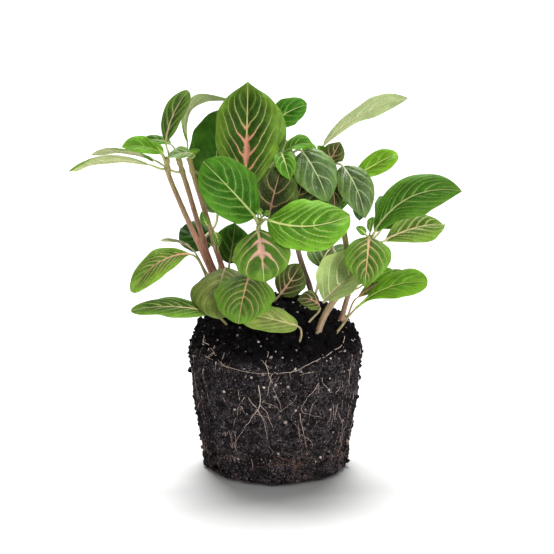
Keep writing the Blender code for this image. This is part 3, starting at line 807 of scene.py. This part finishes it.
# Where a stalk leaves its stem and which way: sideways from the stem's middle towards the blade.
def leafFoot(stem, station, base):
    if stem == "soil":
        normal = soilNormal(*station)
        return np.array([*station, soilHeight(*station)]) - normal, normal
    path = stemPath(stem, 60)[8:]
    place = station * (len(path) - 1)
    index = min(int(place), len(path) - 2)
    centre = path[index] + (path[index + 1] - path[index]) * (place - index)
    along = unit(path[index + 1] - path[index])
    out = (base - centre) - np.dot(base - centre, along) * along
    return centre, unit(out)


# One blade and its stalk. The middle line is base + u (tip - base) + 4u(1-u)(bow up + sweep sideways).
# The half width is a sine hump, W/2 sin(pi u^k)^e, with k set by where it is widest; e goes from the
# base's taper to the tip's and grows at the very tip, for a short point. A point (u, t) lies t half
# widths across. Each half is turned up by its fold, raised by a soft arch and by swellings between the
# side veins (a cosine of the rib number), lowered at each vein, and waved at the margin. Side veins run
# where n u = whole + n (lean |t| + arch t^2), each a little off its place.
def bladeParts(row, seed, ribPairs, tone, hue):
    name, stem, station, base, tip, width, face, bow, sweep, fold = row
    shape = bladeShape
    size = min(width / shape["fullWidth"], 1.0)
    small = width <= shape["smallWidth"]
    base, tip = np.array(base, float), np.array(tip, float)
    ribStep = np.linalg.norm(tip - base) / ribPairs * shape["ribSlant"]
    heading, lift = np.radians(face)
    facing = np.array([np.sin(heading) * np.cos(lift), -np.cos(heading) * np.cos(lift), np.sin(lift)])
    side = unit(np.cross(tip - base, facing))
    upper = unit(np.cross(side, tip - base))
    rows = shape["smallRows" if small else "rows"]
    columns = shape["smallColumns" if small else "columns"]
    u = 0.5 - 0.5 * np.cos(np.pi * np.linspace(0, 1, rows) ** 0.95)
    even = np.linspace(-1, 1, columns)
    t = 0.5 * np.sin(0.5 * np.pi * even * 0.999) + 0.5 * even

    def middleLine(u):
        curve = bow * upper + sweep * side
        line = base + u[:, None] * (tip - base) + (4 * u * (1 - u))[:, None] * curve
        return line - (np.clip(u - 0.7, 0, 1) ** 2 / 0.09 * shape["tipDroop"] * size)[:, None] * upper

    spine = middleLine(u)
    along = unit(np.gradient(spine, axis=0))
    across = unit(side - np.sum(side * along, axis=1, keepdims=True) * along)
    up = np.cross(across, along)
    turn = np.radians(shape["twist"]) * (2 * leafNumber(seed, 3, 5, 11) - 1) * (2 * u - 1)
    turn = turn[:, None]
    across, up = across * np.cos(turn) + up * np.sin(turn), up * np.cos(turn) - across * np.sin(turn)
    widest, baseTaper, tipTaper, point = bladeForms.get(name, bladeForms["usual"])
    widest = widest + 0.03 * (leafNumber(seed, 1, 2, 31) - 0.5)
    hump = np.sin(np.pi * np.clip(u, 1e-6, 1 - 1e-6) ** (np.log(0.5) / np.log(widest)))
    half = 0.5 * width * hump ** (baseTaper + (tipTaper - baseTaper) * u + point * u**10)
    uu, tt = np.meshgrid(u, t, indexing="ij")
    out = np.abs(tt)

    # soft noise along the blade, which differs from half to half
    def halvesNoise(lengthwise, apart, noiseSeed):
        return softNoise(np.stack([lengthwise, np.sign(tt) * apart, tt * 0], axis=-1), 1.0, noiseSeed)

    wobble = 2 * halvesNoise(uu * len(u) * 0.11, 3.0, seed) - 1
    halfEdge = half[:, None] * (1 + shape["wobble"] * out**2 * wobble)
    x = halfEdge * tt
    foldUp = np.where(tt > 0, *np.radians(np.broadcast_to(fold, 2)))
    soft = np.sqrt(x**2 + 0.5) - np.sqrt(0.5)
    offset = 0.5 * leafNumber(seed, 9, 4, 17) * easeStep(-0.05, 0.05, tt)
    rib = ribPairs * (uu - shape["veinLean"] * out - shape["veinArch"] * out**2) + offset
    rib = rib + shape["veinUneven"] * (halvesNoise(rib * 0.55 + seed, 2.0, seed + 60) - 0.5)
    fromVein = np.abs(rib - np.round(rib)) * ribStep
    inside = np.sin(np.pi * np.clip(out, 0, 1) ** 0.8) * np.sin(np.pi * uu) ** 0.3
    quilt = shape["quilt"] * size * (0.5 - 0.5 * np.cos(2 * np.pi * rib)) * inside
    veined = easeStep(0.75, 0.62, rib / ribPairs)
    quilt = quilt * (0.25 + 0.75 * veined)
    groove = shape["groove"] * size * np.exp(-((fromVein / 0.7) ** 2)) * inside * veined
    midGroove = shape["midGroove"] * size * np.exp(-((x / 1.3) ** 2)) * np.sin(np.pi * uu) ** 0.4
    arch = shape["arch"] * half[:, None] * (np.sin(np.pi * out**0.8) - 0.9 * out**3)
    ripple = 2 * halvesNoise(uu * 4.5 + seed, 2.0, seed + 40) - 1
    wave = shape["wave"] * size * out**2.5 * ripple * 1.8
    lump = np.stack([x, uu * 60, tt * 0 + seed], axis=-1)
    lumps = shape["lumps"] * size * (softNoise(lump, 7.0, seed + 9) - 0.5) * inside
    raised = soft * np.sin(foldUp) + quilt - groove - midGroove + arch + wave + lumps
    sideways = (x * np.cos(foldUp))[..., None] * across[:, None]
    surface = spine[:, None] + sideways + raised[..., None] * up[:, None]
    tangentU = np.gradient(surface, axis=0) + 1e-9
    normal = unit(np.cross(np.gradient(surface, axis=1), tangentU))
    if np.sum(normal * up[:, None]) < 0:
        normal = -normal
    thin = np.sqrt(np.clip(1 - out**6, 0, 1)) * easeStep(0, 0.03, uu) * easeStep(1, 0.97, uu)
    thin[:, [0, -1]] = 0
    halfThick = normal * (0.5 * shape["thickness"] * thin)[..., None]
    count = uu.size
    faces = gridFaces(len(u), len(t), False)
    numbers = np.repeat([0, 1], len(faces))
    fields = {"along": uu, "across": tt, "rib": rib, "ribShare": rib / ribPairs, "halfWidth": halfEdge}
    values = {key: np.tile(value.ravel(), 2) for key, value in fields.items()}
    values.update(ribStep=ribStep, tone=tone, hue=hue)
    blade = (np.vstack([(surface + halfThick).reshape(-1, 3), (surface - halfThick).reshape(-1, 3)]),
             np.vstack([faces, faces[:, ::-1] + count]), numbers, values)
    # stalk: a Bezier curve from inside the stem to the blade, then under the middle line to the tip
    foot, leaving = leafFoot(stem, station, base)
    reach = 0.4 * np.linalg.norm(base - foot)
    entering = unit(tip - base + 4 * (bow * upper + sweep * side))
    handles = [foot, foot + leaving * reach, base - entering * reach, base]
    s = np.linspace(0, 1, 16)[:-1, None]
    weights = [(1 - s) ** 3, 3 * s * (1 - s) ** 2, 3 * s**2 * (1 - s), s**3]
    stalk = sum(weight * handle for weight, handle in zip(weights, handles))
    v = np.linspace(0, 0.93, 22)
    ribSize = shape["ribRadius"] * (0.35 + 0.65 * size) * (1 - 0.8 * v)
    rounded = np.interp(v, u, raised[:, len(t) // 2])
    lowered = np.column_stack([np.interp(v, u, up[:, k]) for k in range(3)])
    beneath = middleLine(v) + lowered * (rounded - 0.8 * ribSize * easeStep(0, 0.1, v))[:, None]
    route = np.vstack([stalk, beneath])
    stalkSize = np.linspace(1.12, 0.9, len(stalk)) * shape["stalkRadius"] * (0.45 + 0.55 * size)
    radius = np.concatenate([stalkSize, ribSize])
    radius[:2] *= (1.35, 1.2)
    points, ring = tube(route, radius, upper + 0.3 * side, 9)
    return [blade, (points, ring, 2, {"tone": tone})]


# Blades that are lighter or darker than the rest of their kind, and bluer (over 0.5) or yellower. Some
# of these tones are painted light: crown_side and low_right_underside are made lighter against the shade
# that falls on them.
bladeTonesAndPaintedLight = {
    "rosette_left": (0.74, 0.505), "rosette_right": (1.40, 0.49), "crown_back": (1.25, 0.50),
    "crown_small": (0.80, 0.51), "crown_side": (2.1, 0.497), "left_arm_upper": (0.95, 0.48),
    "left_arm_lower": (0.98, 0.48), "left_tip_arching": (1.0, 0.50), "rear_arching_long": (0.95, 0.495),
    "left_tip_upright": (0.80, 0.50), "right_long": (0.75, 0.498), "right_lower": (1.25, 0.49),
    "right_bright": (1.15, 0.49), "low_right_front": (0.85, 0.495), "right_hanging": (1.12, 0.505),
    "low_front_striped": (0.95, 0.505), "low_left_arching": (1.4, 0.495), "low_left_long": (1.15, 0.50),
    "low_left_pale": (0.72, 0.495), "low_right_underside": (1.2, 0.50), "middle_left": (0.9, 0.50),
    "middle_right": (1.0, 0.51), "inner_green": (0.5, 0.505), "right_grey_green": (1.0, 0.495),
    "rear_grey_hanging": (1.1, 0.50), "left_inner_young": (1.5, 0.49), "left_tip_behind": (0.9, 0.50),
}


def makeLeaves(layout, replaced):
    index = 0
    for kind, rows in layout.items():
        for row in rows:
            index += 1
            name, base, tip, width = row[0], np.array(row[3]), np.array(row[4]), row[5]
            gap = veinGaps.get(kind, veinGaps["others"])
            ribPairs = int(np.clip(np.linalg.norm(tip - base) / gap, 4, 8))
            usual = 0.90 + 0.16 * leafNumber(index, width, 7, 21)
            tone, hue = bladeTonesAndPaintedLight.get(name, (usual, 0.5))
            parts = bladeParts(row, index + 100 * replaced, ribPairs, tone, hue)
            below = underMaterials["greenUnder" if kind == "pale" else "paleUnder"]
            materials = [leafMaterials[kind], below, stalkMaterials["leafStalk"]]
            makePiece(name + "_blade", parts, materials, (name,) if replaced else ())


makeLeaves(leafLayout, True)
makeLeaves(budLayout, False)
print("leaves made")


# stems

stemShape = dict(count=90, buried=12, sides=20, knot=0.32, knotReach=0.022, knotMost=0.45, uneven=0.16,
                 taper=0.2, wander=0.5, rough=0.22)


# A tube along the stem, swollen at each leaf's station and a little uneven between them.
def makeStem(name):
    shape = stemShape
    count, buried, sides = shape["count"], shape["buried"], shape["sides"]
    radius, _, look, _ = stemLayout[name]
    path = stemPath(name, count)
    share = np.clip((np.arange(count) - buried) / (count - 1 - buried), 0, 1)
    stations = [row[2] for rows in leafLayout.values() for row in rows if row[1] == name]
    swell = sum(shape["knot"] * np.exp(-(((share - station) / shape["knotReach"]) ** 2))
                for station in stations)
    uneven = softNoise(path, 6.0, 5) - 0.5
    width = radius * (1 + np.clip(swell, 0, shape["knotMost"]) + shape["uneven"] * uneven)
    width = width * (1.02 - shape["taper"] * share)
    path = path + shape["wander"] * (np.stack([softNoise(path, 14.0, k) for k in (1, 2, 3)], axis=-1) - 0.5)
    points, faces = tube(path, width, np.array([0.0, -1.0, 0.3]), sides)
    rough = softNoise(points * np.array([1, 1, 0.2]), 0.7, 9)[:, None] - 0.5
    middle = np.repeat(np.vstack([path[:1], path, path[-1:]]), sides, axis=0)
    onSkin = np.linalg.norm(points - middle, axis=1, keepdims=True) > 0
    points = points + unit(points - middle) * rough * shape["rough"] * onSkin
    makePiece(name + "_skin", [(points, faces, 0, {})], [stalkMaterials[look]], (name,))


for name in stemLayout:
    makeStem(name)
print("stems made")


# root ball

# The outline turned about the upright axis and pushed out along its normal by clods, crumbs and slow
# swellings, with a crease low down where the pot's foot was. The base stays flat.
def makeBall():
    ball = rootBall
    line = ballOutline(ball["rows"])
    way = unit(np.gradient(line, axis=0))
    angle = np.linspace(0, 2 * np.pi, ball["columns"], endpoint=False)
    points, normal = turned(line[:, None], way[:, None], angle)
    push = ball["clods"] * (crumbNoise(points, ball["clodSize"], 3) - ball["domeMean"])
    push = push + ball["crumbs"] * (crumbNoise(points, ball["crumbSize"], 8) - ball["domeMean"])
    push = push + ball["swells"] * (roughNoise(points, ball["swellSize"], 13) - 0.5)
    foot = easeStep(15, 6, points[..., 2])
    push = push + ball["footSwell"] * foot * (roughNoise(points * np.array([1, 1, 0.5]), 9.0, 31) - 0.40)
    wavy = ball["creaseHeight"] + 3 * (softNoise(points * np.array([1, 1, 0]), 14.0, 4) - 0.5)
    push = push - ball["creaseDepth"] * np.exp(-(((points[..., 2] - wavy) / 1.6) ** 2))
    onSide = easeStep(0.6, 3.0, points[..., 2])
    pole = easeStep(0, 4, np.hypot(points[..., 0], points[..., 1]))
    points = points + normal * (push * onSide * pole)[..., None]
    points[..., 2] = np.maximum(points[..., 2], 0)
    faces = gridFaces(ball["rows"], ball["columns"], True)
    makePiece("peat_body", [(points.reshape(-1, 3), faces, 0, {})], [peatMaterial], ("root_ball",))


# Chips: twenty-sided grains, each stretched, dented and turned in its own way.
def chips(centres, sizes, rng, flatness):
    work = bmesh.new()
    bmesh.ops.create_icosphere(work, subdivisions=1, radius=1.0)
    ball = np.array([vertex.co for vertex in work.verts])
    sides = np.array([[vertex.index for vertex in face.verts] for face in work.faces])
    work.free()
    count = len(centres)
    shape = ball[None] * (1 + rng.uniform(-0.28, 0.28, (count, len(ball), 1)))
    shape = shape * rng.uniform(flatness, 1.0, (count, 1, 3))
    turn = np.linalg.qr(rng.normal(size=(count, 3, 3)))[0]
    turn[:, :, 0] *= np.sign(np.linalg.det(turn))[:, None]
    shape = np.einsum("nij,nkj->nki", turn, shape) * sizes[:, None, None]
    points = (shape + centres[:, None]).reshape(-1, 3)
    faces = (sides[None] + np.arange(count)[:, None, None] * len(ball)).reshape(-1, 3)
    return points, faces


# Places on the ball's outside: rows of the outline drawn by weight, any angle round it.
def ballPlaces(count, rng, weight, lift):
    chance = weight(outline[:, 1]) * outline[:, 0]
    chance[baseStart:] = 0
    row = rng.choice(len(outline), count, p=chance / chance.sum())
    way = unit(np.gradient(outline, axis=0))[row]
    angle = rng.uniform(0, 2 * np.pi, count)
    points, normal = turned(outline[row], way, angle)
    return points + normal * lift[:, None]


def makeGrains():
    rng = np.random.default_rng(5)
    top = rootBall["rimHeight"]
    grainsOf = {
        "peat_crumbs": dict(
            count=7000, least=0.32, most=2.5, flat=0.5, material=crumbMaterial, tones=(0.2, 2.1),
            weight=lambda z: 0.7 + 0.8 * easeStep(top - 12, top, z) + 1.2 * easeStep(9, 2, z)),
        "peat_clumps": dict(
            count=620, least=0.9, most=3.8, flat=0.55, material=crumbMaterial, tones=(0.3, 1.5),
            weight=lambda z: 1.6 * easeStep(14, 3, z) + 0.9 * easeStep(top - 4, top + 6, z) + 0.08),
        "perlite_grains": dict(
            count=950, least=0.22, most=1.5, flat=0.6, material=perliteMaterial, tones=(0.3, 1.2),
            weight=lambda z: 0.6 + 0.2 * easeStep(top - 12, top + 6, z)),
    }
    for name, grains in grainsOf.items():
        spread = rng.uniform(0, 1, grains["count"]) ** 3
        sizes = grains["least"] + (grains["most"] - grains["least"]) * spread
        centres = ballPlaces(grains["count"], rng, grains["weight"], 0.35 + 0.30 * sizes)
        if name == "perlite_grains":
            angle, height, size = np.array(rootBall["stones"]).T
            out, angle = ballRadius(height) + 0.8, np.radians(angle)
            stones = np.column_stack([out * np.sin(angle), -out * np.cos(angle), height])
            centres, sizes = np.vstack([centres, stones]), np.concatenate([sizes, size])
        centres[:, 2] = np.maximum(centres[:, 2], 1.3 * sizes)
        points, faces = chips(centres, sizes, rng, grains["flat"])
        tone = np.repeat(rng.uniform(*grains["tones"], len(sizes)), len(points) // len(sizes))
        makePiece(name, [(points, faces, 0, {"tone": tone})], [grains["material"]])


# The last number of each is how strong the painted shade on the mound is.
peatMaterial = makePeatMaterial("peat", (0.0045, 0.004, 0.0045), (0.096, 0.083, 0.092),
                                (0.135, 0.080, 0.074), 0.98)
crumbMaterial = makePeatMaterial("peatCrumb", (0.006, 0.005, 0.006), (0.130, 0.106, 0.112),
                                 (0.165, 0.100, 0.088), 0.97, True)
makeBall()
makeGrains()
print("root ball made")


# roots

# A root lying on the ball: angle and height along it, out to the ball's radius and a little more, shaken
# sideways by soft noise.
def rootTube(stops, radius, seed, count=40, sides=7, shake=1.4, lift=0.9):
    stops = smoothPath(np.column_stack([np.array(stops, float), np.zeros(len(stops))]), count)
    height = np.clip(stops[:, 1] + shake * (softNoise(stops, 5.0, seed) - 0.5), 0.5, rootBall["top"] - 1)
    angle = np.radians(stops[:, 0]) + shake / 50 * (softNoise(stops, 4.0, seed + 1) - 0.5)
    out = ballRadius(height) + radius + lift * (0.5 + softNoise(stops, 6.0, seed + 2))
    route = np.column_stack([out * np.sin(angle), -out * np.cos(angle), height])
    taper = radius * np.linspace(1.0, 0.45, count) * (1 + 0.25 * (softNoise(route, 2.0, seed) - 0.5))
    return tube(route, taper, np.array([0.0, 0.1, 1.0]), sides)


# Thinner roots that join those, in the same words.
branchLayout = {
    "root_across_left": [(-58, 83), (-44, 82), (-30, 79), (-14, 78), (0, 77)],
    "root_across_right": [(2, 78), (-5, 83), (-9, 86)],
    "root_down_middle": [(-11, 56), (-6, 52), (-5, 47), (-2, 41)],
    "root_down_right": [(30, 69), (22, 60), (18, 52), (34, 44)],
}


def makeRoots():
    rng = np.random.default_rng(12)
    for number, (name, (radius, stops)) in enumerate(rootLayout.items()):
        parts = [(*rootTube(stops, radius * 0.27, 10 * number, lift=1.8), 0, {})]
        parts.append((*rootTube(branchLayout[name], radius * 0.19, 10 * number + 7, lift=1.7), 0, {}))
        for k in range(5):
            angle, height = stops[1 + k % (len(stops) - 1)]
            turnOff = [(angle, height), (angle + rng.uniform(-6, 6), height - rng.uniform(2, 5)),
                       (angle + rng.uniform(-12, 12), height - rng.uniform(5, 12))]
            parts.append((*rootTube(turnOff, radius * 0.16, 10 * number + k, 18, 5), 0, {}))
        makePiece(name + "_skin", parts, [stalkMaterials["paleRoot"]], (name,))
    fineRoots = {
        "fine_roots": dict(count=130, radius=(0.06, 0.15), low=12, high=96, fall=40, drift=13,
                           look="paleRoot"),
        "fringe_roots": dict(count=170, radius=(0.10, 0.22), low=3, high=20, fall=5, drift=16,
                             look="brownRoot"),
    }
    for name, fine in fineRoots.items():
        parts = []
        for k in range(fine["count"]):
            angle = rng.uniform(0, 360)
            height = rng.uniform(fine["low"], fine["high"])
            steps = np.linspace(0, 1, 6)
            bends = np.cumsum(rng.normal(0, 1, (6, 2)), axis=0)
            stops = np.column_stack([angle + rng.choice([-1, 1]) * fine["drift"] * steps + 3 * bends[:, 0],
                                     height - fine["fall"] * steps + 2.5 * bends[:, 1]])
            parts.append((*rootTube(stops, rng.uniform(*fine["radius"]), 300 + k, 30, 5), 0, {}))
        makePiece(name, parts, [stalkMaterials[fine["look"]]])


makeRoots()
print("roots made")


# studio

studio = dict(sky=0.30, backdrop=1.05, sun=4.9, sunSpread=44, sunFrom=(0.0, 0.55, 1.0), frontPower=34,
              frontSize=0.7, frontPlace=(0.9, -1.85, 0.7), floorSize=12.0, lens=161.7, distance=1.6,
              elevation=14.5, target=(0.001, 0, 0.1256))


def makeFloor():
    half = 0.5 * studio["floorSize"]
    mesh = bpy.data.meshes.new("studio_floor")
    corners = [(-half, -half, 0), (half, -half, 0), (half, half, 0), (-half, half, 0)]
    mesh.from_pydata(corners, [], [(0, 1, 2, 3)])
    floor = addObject("studio_floor", mesh)
    material, tree, shader = newMaterial("paleFloor")
    paper = ramp(tree, grain(tree, 0.6, 2.0), 0.3, 0.7)
    colour = blend(tree, paper, (0.94, 0.94, 0.94), (0.96, 0.96, 0.96))
    setInputs(tree, shader, {"Base Color": colour, "Roughness": 0.9, "Specular IOR Level": 0.0})
    mesh.materials.append(material)


# A lamp or camera at that spot, looking at the target.
def addAimed(name, data, spot, target):
    thing = addObject(name, data)
    thing.location = spot
    thing.rotation_euler = (Vector(target) - Vector(spot)).to_track_quat("-Z", "Y").to_euler()
    return thing


# A round lamp aimed at the plant. It lights the pieces and leaves the floor alone, so that the shadow round
# the ball's foot stays deep.
def makeLight(name, spot, power, size, aim=(0, 0, 0.12)):
    light = bpy.data.lights.new(name, "AREA")
    light.shape = "DISK"
    light.size = size
    light.energy = power
    lamp = addAimed(name, light, spot, aim)
    lit = bpy.data.collections.new("litBy_" + name)
    for piece in bpy.context.scene.objects:
        if piece.type == "MESH" and piece.name != "studio_floor":
            lit.objects.link(piece)
    lamp.light_linking.receiver_collection = lit


def makeStudio():
    scene = bpy.context.scene
    world = bpy.data.worlds.new("studio")
    world.use_nodes = True
    sky = world.node_tree.nodes["Background"]
    sky.inputs["Color"].default_value = (1, 1, 1, 1)
    # the backdrop looks white, and lights the plant less than it looks
    seen = world.node_tree.nodes.new("ShaderNodeLightPath").outputs["Is Camera Ray"]
    strength = ramp(world.node_tree, seen, 0.0, 1.0, studio["sky"], studio["backdrop"])
    world.node_tree.links.new(strength, sky.inputs["Strength"])
    scene.world = world
    scene.view_settings.view_transform = "Standard"
    makeLight("front", studio["frontPlace"], studio["frontPower"], studio["frontSize"])
    overhead = bpy.data.lights.new("overhead", "SUN")
    overhead.energy = studio["sun"]
    overhead.angle = np.radians(studio["sunSpread"])
    addAimed("overhead", overhead, studio["sunFrom"], (0, 0, 0))
    camera = bpy.data.cameras.new("camera")
    camera.lens = studio["lens"]
    camera.sensor_width = 36
    camera.clip_end = 50
    tilt = np.radians(studio["elevation"])
    target = Vector(studio["target"])
    spot = target + studio["distance"] * Vector((0, -np.cos(tilt), np.sin(tilt)))
    scene.camera = addAimed("camera", camera, spot, target)


makeFloor()
makeStudio()
print("studio made")
